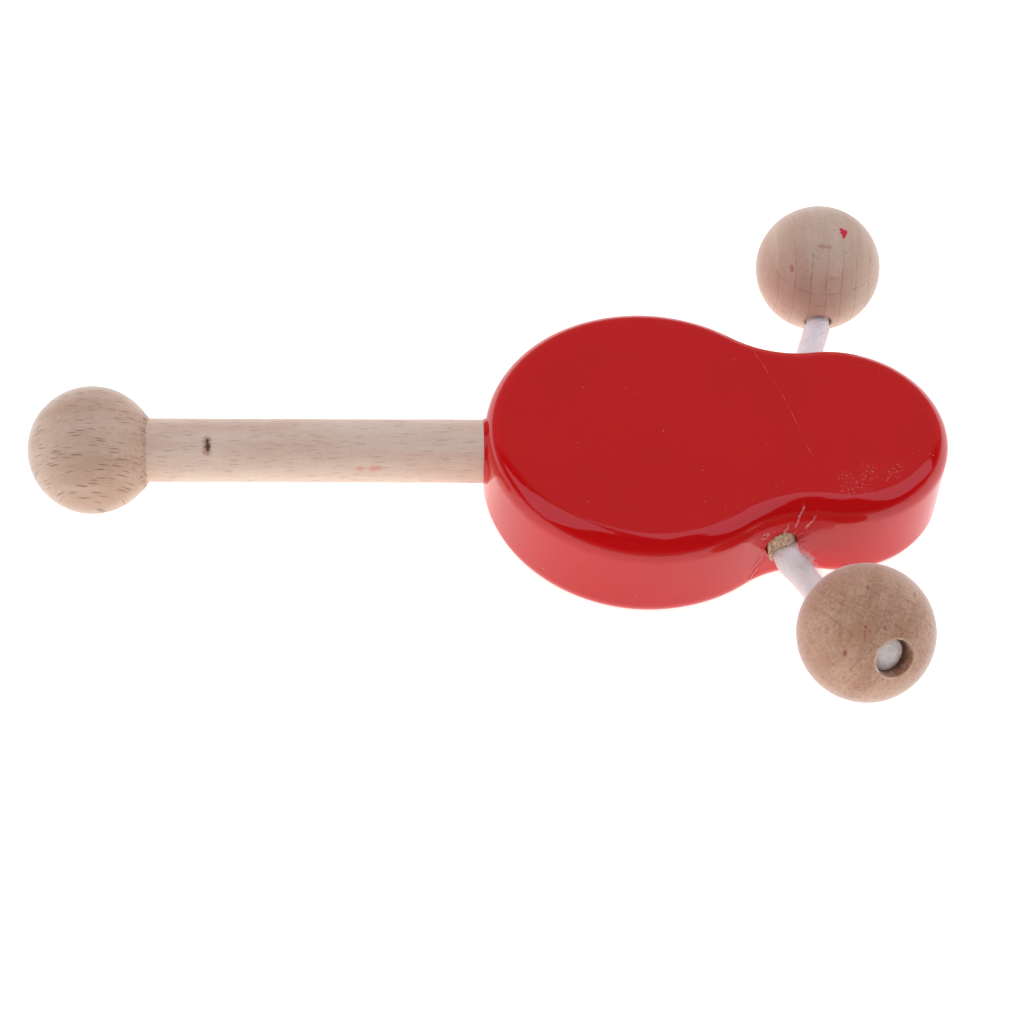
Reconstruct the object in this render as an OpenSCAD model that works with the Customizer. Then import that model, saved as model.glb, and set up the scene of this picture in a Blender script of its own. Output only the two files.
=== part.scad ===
// Twirling rattle: a figure-eight wooden block on a dowel handle, with a beater ball
// on each side that hangs from one cotton cord pegged through the block's waist.
// +X runs from the handle to the small lobe, +Z is up, and the block lies on Z = 0.

/* [Block] */
// Diameter of the large lobe
big_lobe_d = 61; // [54:1:72]
// Diameter of the small lobe
small_lobe_d = 42; // [36:1:50]
// Distance between the centres of the two lobes
lobe_pitch = 36; // [32:1:42]
// Radius of the hollow waist between the lobes
waist_r = 20; // [14:1:30]
// Thickness of the block
block_t = 20; // [19:0.5:26]
// Rounding of the block's edges
edge_r = 4; // [1:0.5:6]

/* [Handle] */
// Diameter of the dowel
rod_d = 12; // [8:0.5:13]
// Length of dowel that shows between the block and the ball
grip_len = 63; // [40:1:100]
// Height of the dowel above the middle of the block
rod_lift = 2; // [0:0.5:2.5]
// Depth of the dowel in the block
rod_seat = 20; // [12:1:24]
// Diameter of the ball at the end of the handle
handle_ball_d = 24; // [20:1:28]
// Depth of the dowel in that ball
ball_seat = 14; // [8:1:16]
// Chamfer on both ends of the dowel
rod_chamfer = 1; // [0.5:0.25:2]

/* [Beater balls] */
// Diameter of each beater ball
beater_d = 25; // [20:1:28]
// Diameter of the bore through each beater ball
beater_bore_d = 5.25; // [5:0.25:6.5]
// Diameter of the wider outer end of that bore
bore_end_d = 7.25; // [6.75:0.25:9]
// Length of that wider end
bore_end_len = 9; // [6:0.5:11]
// Turn of the near ball's bore towards the small lobe, in degrees
near_bore_turn = 17; // [0:1:40]
// Rise of the near ball's bore away from the block, in degrees
near_bore_rise = 29; // [0:0.5:35]
// Turn of the far ball's bore towards the small lobe, in degrees
far_bore_turn = 3; // [0:1:40]
// Rise of the far ball's bore away from the block, in degrees
far_bore_rise = 18; // [0:0.5:30]

/* [Cord] */
// Diameter of the cord
cord_d = 4.5; // [3.5:0.25:5]
// Length of cord glued inside each beater ball
cord_tail = 21; // [19:0.5:22]
// Diameter of the frayed end of the cord
cord_end_d = 5.6; // [5:0.2:6.4]
// Diameter of the hole that takes the cord through the waist
cross_hole_d = 6; // [5.5:0.25:8]
// Distance of that hole from the centre of the large lobe
cross_hole_x = 24; // [22:0.5:28]
// Height of that hole above the middle of the block
cross_hole_lift = 1; // [0:0.25:2]
// Length of each half-round peg
peg_len = 10; // [6:1:14]
// How far each peg stands out of the block
peg_proud = 1; // [0.5:0.25:1.25]
// Turn of each peg's flat from level, in degrees
peg_turn = 50; // [0:5:60]
// How far each peg's flat lies past the middle of the hole
peg_flat = 0.2; // [0:0.2:1]

/* [Hidden] */
$fn = 96;

// Gap left for glue between a piece and its seat
glue_gap = 0.05;
// Gap between the ends of two stretches of cord
cord_gap = 0.3;
// How far every cutting shape runs past the face it opens
overrun = 2;
// Flat sides round the free cord
cord_sides = 12;

big_r = big_lobe_d / 2;
small_r = small_lobe_d / 2;
rod_r = rod_d / 2;
handle_ball_r = handle_ball_d / 2;
beater_r = beater_d / 2;
cross_r = cross_hole_d / 2;
cord_r = cord_d / 2;
// Where the bore widens and where the glued cord begins, along the bore from the ball's centre
bore_end_z = beater_r - bore_end_len;
tail_z = cord_gap - beater_r;

// The waist's arc touches both lobes, so its centre is fixed by three distances.
big_reach = big_r + waist_r;
small_reach = small_r + waist_r;
waist_x = (big_reach ^ 2 - small_reach ^ 2 + lobe_pitch ^ 2) / (2 * lobe_pitch);
waist_y = sqrt(big_reach ^ 2 - waist_x ^ 2);

rod_z = block_t / 2 + rod_lift;
block_left = -big_r;
rod_left = block_left - grip_len - ball_seat;
rod_right = block_left + rod_seat;
handle_ball_x = block_left - grip_len - sqrt(handle_ball_r ^ 2 - rod_r ^ 2);

cross_z = block_t / 2 + cross_hole_lift;
mouth_y = waist_y - sqrt(waist_r ^ 2 - (cross_hole_x - waist_x) ^ 2);
peg_out_y = mouth_y + peg_proud;
peg_in_y = peg_out_y - peg_len;

// Each free stretch of cord, from its peg to its ball
near_route = [
  [25, -22.9, 10], [25.6, -24, 9.1], [27, -25.25, 8.1], [28.4, -26.65, 7.1],
  [29.8, -28.3, 6.3], [31, -29.85, 5.95], [32.4, -31.35, 6], [33.8, -32.75, 6.45],
];
far_route = [
  [25, 22.9, 10], [25.8, 24.1, 9.3], [28.2, 24.8, 8.2], [31.2, 25.4, 7.5],
  [33.4, 26.6, 7.5], [34.6, 28.8, 7.9], [35.6, 31.8, 8.2], [36.6, 34.8, 8.4], [37.4, 37.2, 8.6],
];

// Which way each side of the block faces along Y
near_side = -1;
far_side = 1;

near_bore_way = bore_way(near_side, near_bore_turn, near_bore_rise);
far_bore_way = bore_way(far_side, far_bore_turn, far_bore_rise);
near_ball_at = ball_at(near_route, near_bore_way);
far_ball_at = ball_at(far_route, far_bore_way);

function unit(v) = v / norm(v);

// Direction of a ball's bore, away from the block
function bore_way(side, turn, rise) =
  [sin(turn) * cos(rise), side * cos(turn) * cos(rise), sin(rise)];

// A ball lies on the table where the end of its cord meets its bore.
function ball_at(route, way) =
  let (entry = route[len(route) - 1])
  [entry.x + beater_r * way.x, entry.y + beater_r * way.y, beater_r];

// Direction of the cord at one point of its route
function cord_way(route, i, first_way, last_way) =
  i == 0 ? first_way
  : i == len(route) - 1 ? last_way
  : unit(route[i + 1] - route[i - 1]);

// Points round the cord, square to its direction
function cord_ring(at, way) =
  let (across = unit(cross(way, [0, 0, 1])))
  let (over = cross(across, way))
  [for (k = [0 : cord_sides - 1])
    let (turn = 360 * k / cord_sides)
    at + cord_r * (cos(turn) * across + sin(turn) * over)];

// Faces of a closed tube made of rings
function cord_faces(rings) =
  let (n = cord_sides)
  let (last = n * (rings - 1))
  concat(
    [for (i = [0 : rings - 2], k = [0 : n - 1])
      [n * i + k, n * i + (k + 1) % n, n * (i + 1) + k]],
    [for (i = [0 : rings - 2], k = [0 : n - 1])
      [n * i + (k + 1) % n, n * (i + 1) + (k + 1) % n, n * (i + 1) + k]],
    [[for (k = [n - 1 : -1 : 0]) k]],
    [[for (k = [0 : n - 1]) last + k]]
  );

// Half section of the block from an axis out to a rounded rim
module rim_section(reach) {
  difference() {
    square([reach, block_t]);
    for (upper = [0, 1])
      translate([reach - edge_r, upper * (block_t - edge_r)])
        difference() {
          translate([0, (upper - 1) * overrun])
            square([edge_r + overrun, edge_r + overrun]);
          translate([0, (1 - upper) * edge_r])
            circle(r = edge_r);
        }
  }
}

// Plan of the bridge between the lobes, from lobe centres to the centres of the waist's arcs
module bridge_plan() {
  polygon([
    [0, 0], [waist_x, -waist_y],
    [lobe_pitch, 0], [waist_x, waist_y],
  ]);
}

// A round lobe, less the sector that the bridge fills
module lobe(centre_x, radius) {
  difference() {
    translate([centre_x, 0, 0])
      rotate_extrude()
        rim_section(radius);
    translate([0, 0, -overrun])
      linear_extrude(block_t + 2 * overrun)
        bridge_plan();
  }
}

// The space that the waist's rounded hollow takes out, turned about the centre of its arc
module waist_hollow() {
  rotate_extrude()
    difference() {
      translate([0, -overrun])
        square([waist_r + edge_r, block_t + 2 * overrun]);
      translate([waist_r + 2 * edge_r, 0])
        mirror([1, 0])
          rim_section(2 * edge_r);
    }
}

// The bridge blends the lobes: its hollows touch both of them without a crease.
module waist_bridge() {
  difference() {
    linear_extrude(block_t)
      bridge_plan();
    for (side = [near_side, far_side])
      translate([waist_x, side * waist_y, 0])
        waist_hollow();
  }
}

module drum_block() {
  color([0.72, 0.12, 0.13])
    difference() {
      union() {
        lobe(0, big_r);
        lobe(lobe_pitch, small_r);
        waist_bridge();
      }
      translate([block_left - overrun, 0, rod_z])
        rotate([0, 90, 0])
          cylinder(r = rod_r + glue_gap, h = rod_seat + overrun + glue_gap);
      translate([cross_hole_x, 0, cross_z])
        rotate([90, 0, 0])
          cylinder(r = cross_r, h = 2 * (mouth_y + overrun), center = true);
    }
}

module handle_rod() {
  rod_len = rod_right - rod_left;
  color([0.86, 0.74, 0.62])
    translate([rod_left, 0, rod_z])
      rotate([0, 90, 0])
        rotate_extrude()
          polygon([
            [0, 0], [rod_r - rod_chamfer, 0], [rod_r, rod_chamfer],
            [rod_r, rod_len - rod_chamfer], [rod_r - rod_chamfer, rod_len], [0, rod_len],
          ]);
}

module handle_ball() {
  color([0.80, 0.66, 0.54])
    difference() {
      translate([handle_ball_x, 0, rod_z])
        sphere(r = handle_ball_r);
      translate([rod_left - glue_gap, 0, rod_z])
        rotate([0, 90, 0])
          cylinder(r = rod_r + glue_gap, h = ball_seat + handle_ball_r);
    }
}

// The part of the cross hole on one side of the peg's flat
module half_hole(radius, from_y, to_y, side, upper) {
  translate([cross_hole_x, 0, cross_z])
    rotate([0, -peg_turn, 0])
      intersection() {
        translate([0, side * (from_y + to_y) / 2, 0])
          rotate([90, 0, 0])
            cylinder(r = radius, h = to_y - from_y, center = true);
        translate([-2 * radius, -peg_out_y - overrun, upper * (radius + glue_gap) - radius - peg_flat])
          cube([4 * radius, 2 * (peg_out_y + overrun), 2 * radius]);
      }
}

module peg(side) {
  color([0.74, 0.62, 0.42])
    half_hole(cross_r - glue_gap, peg_in_y, peg_out_y, side, 1);
}

module near_peg() {
  peg(near_side);
}

module far_peg() {
  peg(far_side);
}

// The cord is round in the middle of the block and squeezed flat beside each peg.
module cord_core() {
  color([0.95, 0.93, 0.92])
    union() {
      translate([cross_hole_x, 0, cross_z])
        rotate([90, 0, 0])
          cylinder(r = cord_r, h = 2 * (peg_in_y - glue_gap), center = true);
      for (side = [near_side, far_side])
        half_hole(cross_r - glue_gap, peg_in_y - cord_d, peg_out_y, side, -1);
    }
}

module cord_tube(route, side, bore) {
  first_way = [0, side, 0];
  rings = [
    for (i = [0 : len(route) - 1])
      cord_ring(route[i], cord_way(route, i, first_way, bore))
  ];
  color([0.95, 0.93, 0.92])
    polyhedron(
      points = [for (ring = rings) each ring],
      faces = cord_faces(len(route))
    );
}

module near_cord() {
  cord_tube(near_route, near_side, near_bore_way);
}

module far_cord() {
  cord_tube(far_route, far_side, far_bore_way);
}

// Puts a shape that stands along Z on the axis of a ball's bore, at the ball's centre
module along_bore(at, side, turn, rise) {
  translate(at)
    rotate([0, 90 - rise, side * (90 - turn)])
      children();
}

module bored_ball() {
  difference() {
    sphere(r = beater_r);
    cylinder(d = beater_bore_d, h = 2 * (beater_r + overrun), center = true);
    translate([0, 0, bore_end_z])
      cylinder(d = bore_end_d, h = bore_end_len + overrun);
  }
}

// The glued end of the cord lies against one side of the bore, and its frayed end is too thick to slip back.
module tail_in_bore() {
  aside = (beater_bore_d - cord_d) / 2 - glue_gap;
  end_aside = (bore_end_d - cord_end_d) / 2 - glue_gap;
  union() {
    translate([0, -aside, tail_z])
      cylinder(r = cord_r, h = cord_tail);
    translate([0, -end_aside, bore_end_z + glue_gap])
      cylinder(d = cord_end_d, h = tail_z + cord_tail - bore_end_z - glue_gap);
  }
}

module near_cord_tail() {
  color([0.95, 0.93, 0.92])
    along_bore(near_ball_at, near_side, near_bore_turn, near_bore_rise)
      tail_in_bore();
}

module far_cord_tail() {
  color([0.95, 0.93, 0.92])
    along_bore(far_ball_at, far_side, far_bore_turn, far_bore_rise)
      tail_in_bore();
}

module near_ball() {
  color([0.74, 0.60, 0.49])
    along_bore(near_ball_at, near_side, near_bore_turn, near_bore_rise)
      bored_ball();
}

module far_ball() {
  color([0.78, 0.66, 0.56])
    along_bore(far_ball_at, far_side, far_bore_turn, far_bore_rise)
      bored_ball();
}

drum_block();
handle_rod();
handle_ball();
near_peg();
far_peg();
cord_core();
near_cord();
near_cord_tail();
near_ball();
far_cord();
far_cord_tail();
far_ball();
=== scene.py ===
"""Looks, light and camera of the twirling rattle, on the frame packed from part.scad."""
import math

import bmesh
import bpy
import numpy as np
from mathutils import Matrix, Vector, noise


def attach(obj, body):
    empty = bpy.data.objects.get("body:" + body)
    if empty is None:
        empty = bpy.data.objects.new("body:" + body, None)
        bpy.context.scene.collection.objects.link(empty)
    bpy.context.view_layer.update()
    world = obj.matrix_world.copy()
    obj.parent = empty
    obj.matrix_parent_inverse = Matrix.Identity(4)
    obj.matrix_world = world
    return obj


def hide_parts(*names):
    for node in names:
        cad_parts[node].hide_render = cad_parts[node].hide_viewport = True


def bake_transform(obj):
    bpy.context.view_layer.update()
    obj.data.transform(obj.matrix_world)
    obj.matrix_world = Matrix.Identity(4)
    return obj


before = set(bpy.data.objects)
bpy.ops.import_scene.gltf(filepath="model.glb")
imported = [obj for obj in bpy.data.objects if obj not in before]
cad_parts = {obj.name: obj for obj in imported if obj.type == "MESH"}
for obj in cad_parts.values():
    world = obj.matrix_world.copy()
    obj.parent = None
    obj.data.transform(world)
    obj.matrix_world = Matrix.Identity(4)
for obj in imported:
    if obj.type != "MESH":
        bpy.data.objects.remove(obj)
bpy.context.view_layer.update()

MM = 0.001

# Driving sizes, as in part.scad
BIG_R = 30.5 * MM
SMALL_R = 21 * MM
LOBE_PITCH = 36 * MM
WAIST_R = 20 * MM
BLOCK_T = 20 * MM
EDGE_R = 4 * MM
ROD_R = 6 * MM
ROD_SEAT = 20 * MM
GRIP_LEN = 63 * MM
BALL_SEAT = 14 * MM
HANDLE_BALL_R = 12 * MM
BEATER_R = 12.5 * MM
BORE_R = 2.625 * MM
BORE_END_R = 3.625 * MM
BORE_END_LEN = 9 * MM
CORD_R = 2.25 * MM
CORD_TAIL = 21 * MM
CORD_END_R = 2.8 * MM
CROSS_R = 3 * MM
CROSS_X = 24 * MM
PEG_LEN = 10 * MM
PEG_PROUD = 1 * MM
# The peg's crumbly end spreads over the cord, further and flatter than its driven part
SPREAD_TURN = math.radians(25)
SPREAD_FLAT = 1.2 * MM
GLUE_GAP = 0.05 * MM

# Places worked out from them, as in part.scad
ROD_Z = BLOCK_T / 2 + 2 * MM
CROSS_Z = BLOCK_T / 2 + 1 * MM
BIG_REACH = BIG_R + WAIST_R
SMALL_REACH = SMALL_R + WAIST_R
WAIST_X = (BIG_REACH**2 - SMALL_REACH**2 + LOBE_PITCH**2) / (2 * LOBE_PITCH)
WAIST_Y = math.sqrt(BIG_REACH**2 - WAIST_X**2)
MOUTH_Y = WAIST_Y - math.sqrt(WAIST_R**2 - (CROSS_X - WAIST_X) ** 2)
HANDLE_BALL_X = -BIG_R - GRIP_LEN - math.sqrt(HANDLE_BALL_R**2 - ROD_R**2)
NEAR, FAR = -1, 1
HANDLE_WAY = Vector((1, 0, 0))
SPREAD_UP = Vector((-math.sin(SPREAD_TURN), 0, math.cos(SPREAD_TURN)))


def bore_way(side, turn, rise):
    """Direction of a ball's bore, away from the block."""
    t, r = math.radians(turn), math.radians(rise)
    return Vector((math.sin(t) * math.cos(r), side * math.cos(t) * math.cos(r), math.sin(r)))


def bell(x):
    """1 at 0, falling smoothly to nothing a little past 2."""
    return math.exp(-(x**2))


def route_mm(points):
    """Points given in millimetres."""
    return [Vector(p) * MM for p in points]


NEAR_WAY = bore_way(NEAR, 17, 29)
FAR_WAY = bore_way(FAR, 3, 18)
NEAR_ROUTE = route_mm([
    (25, -22.9, 10), (25.6, -24, 9.1), (27, -25.25, 8.1), (28.4, -26.65, 7.1),
    (29.8, -28.3, 6.3), (31, -29.85, 5.95), (32.4, -31.35, 6), (33.8, -32.75, 6.45),
])
FAR_ROUTE = route_mm([
    (25, 22.9, 10), (25.8, 24.1, 9.3), (28.2, 24.8, 8.2), (31.2, 25.4, 7.5),
    (33.4, 26.6, 7.5), (34.6, 28.8, 7.9), (35.6, 31.8, 8.2), (36.6, 34.8, 8.4), (37.4, 37.2, 8.6),
])


def ball_at(route, way):
    """A ball lies on the table where the end of its cord meets its bore."""
    entry = route[-1]
    return Vector((entry.x + BEATER_R * way.x, entry.y + BEATER_R * way.y, BEATER_R))


NEAR_BALL = ball_at(NEAR_ROUTE, NEAR_WAY)
FAR_BALL = ball_at(FAR_ROUTE, FAR_WAY)


# Camera, fitted to the photograph's outlines
def make_camera():
    look_at = Vector((-24.88, -4.93, 0)) * MM
    distance = 472.83 * MM
    elevation, azimuth, roll = (math.radians(a) for a in (50.19, -3.9, 3.12))
    back = Vector((
        math.sin(azimuth) * math.cos(elevation),
        -math.cos(azimuth) * math.cos(elevation),
        math.sin(elevation),
    ))
    level = Vector((math.cos(azimuth), math.sin(azimuth), 0))
    right = math.cos(roll) * level + math.sin(roll) * back.cross(level)
    up = back.cross(right)
    data = bpy.data.cameras.new("camera")
    data.sensor_width = 36
    data.lens = 86.89
    data.clip_start = 0.01
    camera = bpy.data.objects.new("camera", data)
    camera.matrix_world = Matrix.Translation(look_at + distance * back) @ Matrix(
        (right, up, back)
    ).transposed().to_4x4()
    bpy.context.collection.objects.link(camera)
    bpy.context.scene.camera = camera


make_camera()


# Shader helpers
def linear(hex_colour):
    """An sRGB hex colour as the linear colour that shaders take."""
    parts = [int(hex_colour[i:i + 2], 16) / 255 for i in (1, 3, 5)]
    light = [c / 12.92 if c <= 0.04045 else ((c + 0.055) / 1.055) ** 2.4 for c in parts]
    return (*light, 1.0)


def add(tree, kind, settings=None, inputs=None):
    """Adds a node: settings are its properties, and an input is a value or a socket to link."""
    node = tree.nodes.new(kind)
    for name, value in (settings or {}).items():
        setattr(node, name, value)
    for name, value in (inputs or {}).items():
        if isinstance(value, bpy.types.NodeSocket):
            tree.links.new(value, node.inputs[name])
        else:
            node.inputs[name].default_value = value
    return node


def start_material(name):
    """A material with an empty tree and its own Object coordinates, in metres."""
    material = bpy.data.materials.new(name)
    material.use_nodes = True
    tree = material.node_tree
    tree.nodes.clear()
    return material, tree, add(tree, "ShaderNodeTexCoord").outputs["Object"]


def end_material(tree, inputs):
    shader = add(tree, "ShaderNodeBsdfPrincipled", inputs=inputs)
    add(tree, "ShaderNodeOutputMaterial", inputs={"Surface": shader.outputs["BSDF"]})


def mix(tree, factor, a, b):
    return add(tree, "ShaderNodeMix", {"data_type": "RGBA"}, {0: factor, 6: a, 7: b}).outputs[2]


def ramp(tree, value, low, high, out_low=0.0, out_high=1.0):
    """Smooth step of a value from low to high."""
    node = add(tree, "ShaderNodeMapRange", {"interpolation_type": "SMOOTHSTEP"}, {
        "Value": value, "From Min": low, "From Max": high, "To Min": out_low, "To Max": out_high,
    })
    return node.outputs["Result"]


def maths(tree, operation, a, b=0.0):
    return add(tree, "ShaderNodeMath", {"operation": operation}, {0: a, 1: b}).outputs[0]


def vectors(tree, operation, *inputs):
    """Vector maths; a distance, dot product or length comes out as a value."""
    node = add(tree, "ShaderNodeVectorMath", {"operation": operation}, dict(enumerate(inputs)))
    return node.outputs["Value" if operation in ("DISTANCE", "DOT_PRODUCT", "LENGTH") else "Vector"]


def parts_of(tree, coords):
    """The x, y and z of coordinates."""
    return add(tree, "ShaderNodeSeparateXYZ", None, {0: coords}).outputs


def times(tree, a, b):
    return maths(tree, "MULTIPLY", a, b)


def scaled(tree, coords, per_mm, turn=(0, 0, 0), centre=(0, 0, 0)):
    """Coordinates about a centre, turned, in units of so many per millimetre along each axis."""
    moved = vectors(tree, "SUBTRACT", coords, centre)
    about = add(tree, "ShaderNodeMapping", {"vector_type": "POINT"}, {"Vector": moved, "Rotation": turn})
    return vectors(tree, "MULTIPLY", about.outputs[0], tuple(s / MM for s in per_mm))


def noise_of(tree, coords, detail=3.0, roughness=0.5):
    return add(tree, "ShaderNodeTexNoise", None, {
        "Vector": coords, "Scale": 1.0, "Detail": detail, "Roughness": roughness,
    }).outputs["Fac"]


def even_noise(tree, coords, per_mm, detail=3.0, roughness=0.5):
    """Noise that is the same size along each axis."""
    return noise_of(tree, scaled(tree, coords, (per_mm,) * 3), detail, roughness)


def cells_of(tree, coords):
    return add(tree, "ShaderNodeTexVoronoi", None, {"Vector": coords, "Scale": 1.0}).outputs


def pushed(tree, coords, per_mm, detail, reach, onto=None):
    """Coordinates pushed about by noise, as far as reach along each axis."""
    cloud = add(tree, "ShaderNodeTexNoise", None, {"Vector": coords, "Scale": per_mm / MM, "Detail": detail})
    return vectors(tree, "MULTIPLY_ADD", cloud.outputs["Color"], reach, coords if onto is None else onto)


def bump(tree, height, distance, normal=None):
    inputs = {"Height": height, "Distance": distance, "Strength": 1.0}
    if normal is not None:
        inputs["Normal"] = normal
    return add(tree, "ShaderNodeBump", None, inputs).outputs[0]


def near_line(tree, coords, start, end, inner, outer):
    """1 within inner of a straight line between two points, falling to 0 at outer."""
    along = end - start
    offset = vectors(tree, "SUBTRACT", coords, tuple(start))
    part = vectors(tree, "DOT_PRODUCT", offset, tuple(along / along.length_squared))
    part = add(tree, "ShaderNodeClamp", None, {"Value": part}).outputs[0]
    nearest = add(tree, "ShaderNodeVectorMath", {"operation": "SCALE"}, {0: tuple(along), "Scale": part})
    return ramp(tree, vectors(tree, "DISTANCE", offset, nearest.outputs[0]), outer, inner)


def near_path(tree, coords, points, inner, outer):
    """The same along a line through several points; all in millimetres."""
    amount = 0.0
    for start, end in zip(route_mm(points), route_mm(points[1:])):
        amount = maths(tree, "MAXIMUM", amount, near_line(tree, coords, start, end, inner * MM, outer * MM))
    return amount


def wood_turn(grain, across):
    """Rotation that takes the grain to x and the direction across the rays to y."""
    along = Vector(grain).normalized()
    beside = Vector(across)
    beside = (beside - beside.dot(along) * along).normalized()
    return tuple(Matrix((along, beside, along.cross(beside))).to_euler("XYZ"))


def tint(tree, amount, strength, colour, hex_colour):
    """Mixes a colour in where an amount is above 0."""
    return mix(tree, times(tree, amount, strength), colour, linear(hex_colour))


# Scars in the lacquer, in millimetres: raised lips of nicks and scratches round the near mouth of the hole
NICKS = [
    [(27.42, -19.44, 18.95), (26.61, -20.49, 17.69), (26.16, -20.96, 15.5)],
    [(29.68, -20.27, 17.53), (28.24, -20.65, 15.0)],
    [(20.2, -23.2, 15.6), (21.1, -22.7, 15.2), (20.7, -22.9, 14.2), (20.0, -23.3, 14.8)],
    [(24.0, -21.5, 14.2), (24.6, -21.3, 15.3)],
    [(20.4, -23.05, 8.4), (18.8, -24.0, 6.6)],
    [(19.8, -23.4, 5.6), (18.6, -24.1, 3.9)],
]

# Scuffed patches on top of the small lobe, in millimetres: x, y and reach
SCUFFS = [
    (35.8, -13.4, 2.4), (35.7, -16.4, 2.2), (40.2, -11.8, 2.8), (43.1, -13.2, 1.2),
    (45.7, -10.7, 1.7), (38.6, -14.6, 2.8), (44.6, -11.6, 2.4),
]

# Hairline scratch on the top, in millimetres
HAIRLINE = [(21.3, 20.5, 20), (26.5, 7, 20), (30.4, -7.5, 20)]

# Knot in the dowel, in millimetres: the middle of its pit, and the ends of its halo and dark core
KNOT_PIT = (-82.05, -3.3, 17)
KNOT_HALO = (-82.07, -2.3, 17.45), (-82.04, -4.1, 16.3)
KNOT_CORE = (-81.95, -2.3, 17.45), (-81.95, -3.8, 16.5)


# Materials
def dust_specks(tree, coords):
    """Dust caught in the lacquer, about two tenths of a millimetre wide and far apart."""
    specks = 0.0
    for per_mm, size in ((0.2, 0.024), (0.33, 0.03)):
        distance = cells_of(tree, scaled(tree, coords, (per_mm,) * 3))["Distance"]
        specks = maths(tree, "ADD", specks, ramp(tree, distance, size * 1.6, size * 0.6))
    return specks


def hairline_scratch(tree, coords):
    """Thin scratch across the top, wavering and broken."""
    wavering = pushed(tree, coords, 0.3, 2.0, (0.7 * MM, 0.3 * MM, 0))
    dashes = ramp(tree, even_noise(tree, coords, 0.6, 5, 0.8), 0.45, 0.6)
    return times(tree, near_path(tree, wavering, HAIRLINE, 0.02, 0.13), dashes)


def scuffed_patches(tree, coords):
    """Pale patches with short scratches on the near edge of the small lobe."""
    patches = 0.0
    for x, y, size in SCUFFS:
        away = vectors(tree, "DISTANCE", coords, (x * MM, y * MM, BLOCK_T))
        patches = maths(tree, "MAXIMUM", patches, ramp(tree, away, size * MM, 0.2 * size * MM))
    grit = noise_of(tree, scaled(tree, coords, (1.6, 2.2, 2.2), (0, 0, 0.6)), 4, 0.75)
    return times(tree, patches, ramp(tree, grit, 0.54, 0.66))


def torn_lips_and_glints(tree, coords):
    """Lips of the nicks: torn lacquer that shows a paler edge, and a painted highlight along each lip."""
    lips = 0.0
    for nick in NICKS:
        lips = maths(tree, "MAXIMUM", lips, near_path(tree, coords, nick, 0.1, 0.28))
    torn = ramp(tree, even_noise(tree, coords, 1.1, 2), 0.35, 0.5, 0.35, 1)
    return times(tree, lips, torn)


def red_lacquer():
    """Thick dipped gloss lacquer: mirror-like, with faint dust, one hairline, nicks with painted highlights
    on their lips, and a scuff.
    """
    material, tree, coords = start_material("red gloss lacquer")
    cloud = even_noise(tree, coords, 0.05, 2)
    hairline = hairline_scratch(tree, coords)
    scuff = scuffed_patches(tree, coords)
    colour = mix(tree, cloud, linear("#CE0E11"), linear("#D61315"))
    colour = tint(tree, dust_specks(tree, coords), 0.35, colour, "#EFB4B6")
    colour = tint(tree, hairline, 0.3, colour, "#E08F92")
    colour = tint(tree, scuff, 0.42, colour, "#E2A9AF")
    # pale lips of the nicks: partly torn lacquer, partly a painted highlight
    colour = tint(tree, torn_lips_and_glints(tree, coords), 0.65, colour, "#F0BCC2")
    waves = even_noise(tree, coords, 0.25, 2)
    ripples = even_noise(tree, coords, 0.7, 2)
    normal = bump(tree, ripples, 0.005 * MM, bump(tree, waves, 0.03 * MM))
    normal = bump(tree, maths(tree, "ADD", hairline, scuff), 0.03 * MM, normal)
    rough = maths(tree, "ADD", times(tree, scuff, 0.4), 0.07)
    end_material(tree, {"Base Color": colour, "Roughness": rough, "Normal": normal, "IOR": 1.5})
    return material


def growth_lines(tree, coords, wavy, turn, centre, lines):
    """Thin crooked lines on a ball, spaced across the growth rings and then across the rays. They are
    broken, some are missing, and they fade towards one end of the grain. Each set of lines is its gap
    in millimetres, strength, share missing, bend and phase."""
    found = []
    for (gap, strength, missing, bend, phase), axis in zip(lines, (2, 1)):
        uneven = pushed(tree, coords, 0.6, 3.0, (0.45 * bend * MM,) * 3, wavy)
        part = parts_of(tree, scaled(tree, uneven, (1, 1, 1), turn, centre))
        bent = times(tree, even_noise(tree, coords, 0.09, 1), bend)
        value = maths(tree, "ADD", maths(tree, "DIVIDE", part[axis], gap), bent)
        value = maths(tree, "ADD", value, phase)
        number = maths(tree, "FLOOR", value)
        kept = add(tree, "ShaderNodeTexWhiteNoise", {"noise_dimensions": "1D"}, {"W": number})
        kept = ramp(tree, kept.outputs["Value"], missing - 0.2, missing + 0.2)
        off_line = maths(tree, "SUBTRACT", maths(tree, "SUBTRACT", value, number), 0.5)
        off_mm = times(tree, maths(tree, "ABSOLUTE", off_line), gap)
        # Each line is as wide on the ball's crown as on its sides
        steep = maths(tree, "POWER", maths(tree, "DIVIDE", part[axis], BEATER_R / MM), 2.0)
        steep = maths(tree, "SQRT", maths(tree, "MAXIMUM", maths(tree, "SUBTRACT", 1.0, steep), 0.03))
        line = ramp(tree, maths(tree, "DIVIDE", off_mm, steep), 0.2, 0.06)
        broken = ramp(tree, even_noise(tree, coords, 0.3, 4, 0.65), 0.42, 0.62)
        if missing < 0:
            broken = maths(tree, "ADD", times(tree, broken, 0.55), 0.45)
        for share in (broken, kept, ramp(tree, part[0], 0, 11, 0.14, 1)):
            line = times(tree, line, share)
        found.append((line, strength))
    return found


def wood_spots(tree, coords, colour, spots):
    """Ragged spots, stains and marks, and on the beater balls also painted light and shade: each is the ends
    of a line and its inner and outer reach, in millimetres, a colour and a strength."""
    ragged = pushed(tree, coords, 1.6, 3.0, (1 * MM,) * 3)
    middle = Vector((0.5 * MM,) * 3)
    for start, end, inner, outer, hex_colour, strength in spots:
        ends = Vector(start) * MM + middle, Vector(end) * MM + middle
        spot = near_line(tree, ragged, *ends, inner * MM, outer * MM)
        colour = tint(tree, spot, strength, colour, hex_colour)
    return colour


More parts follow.
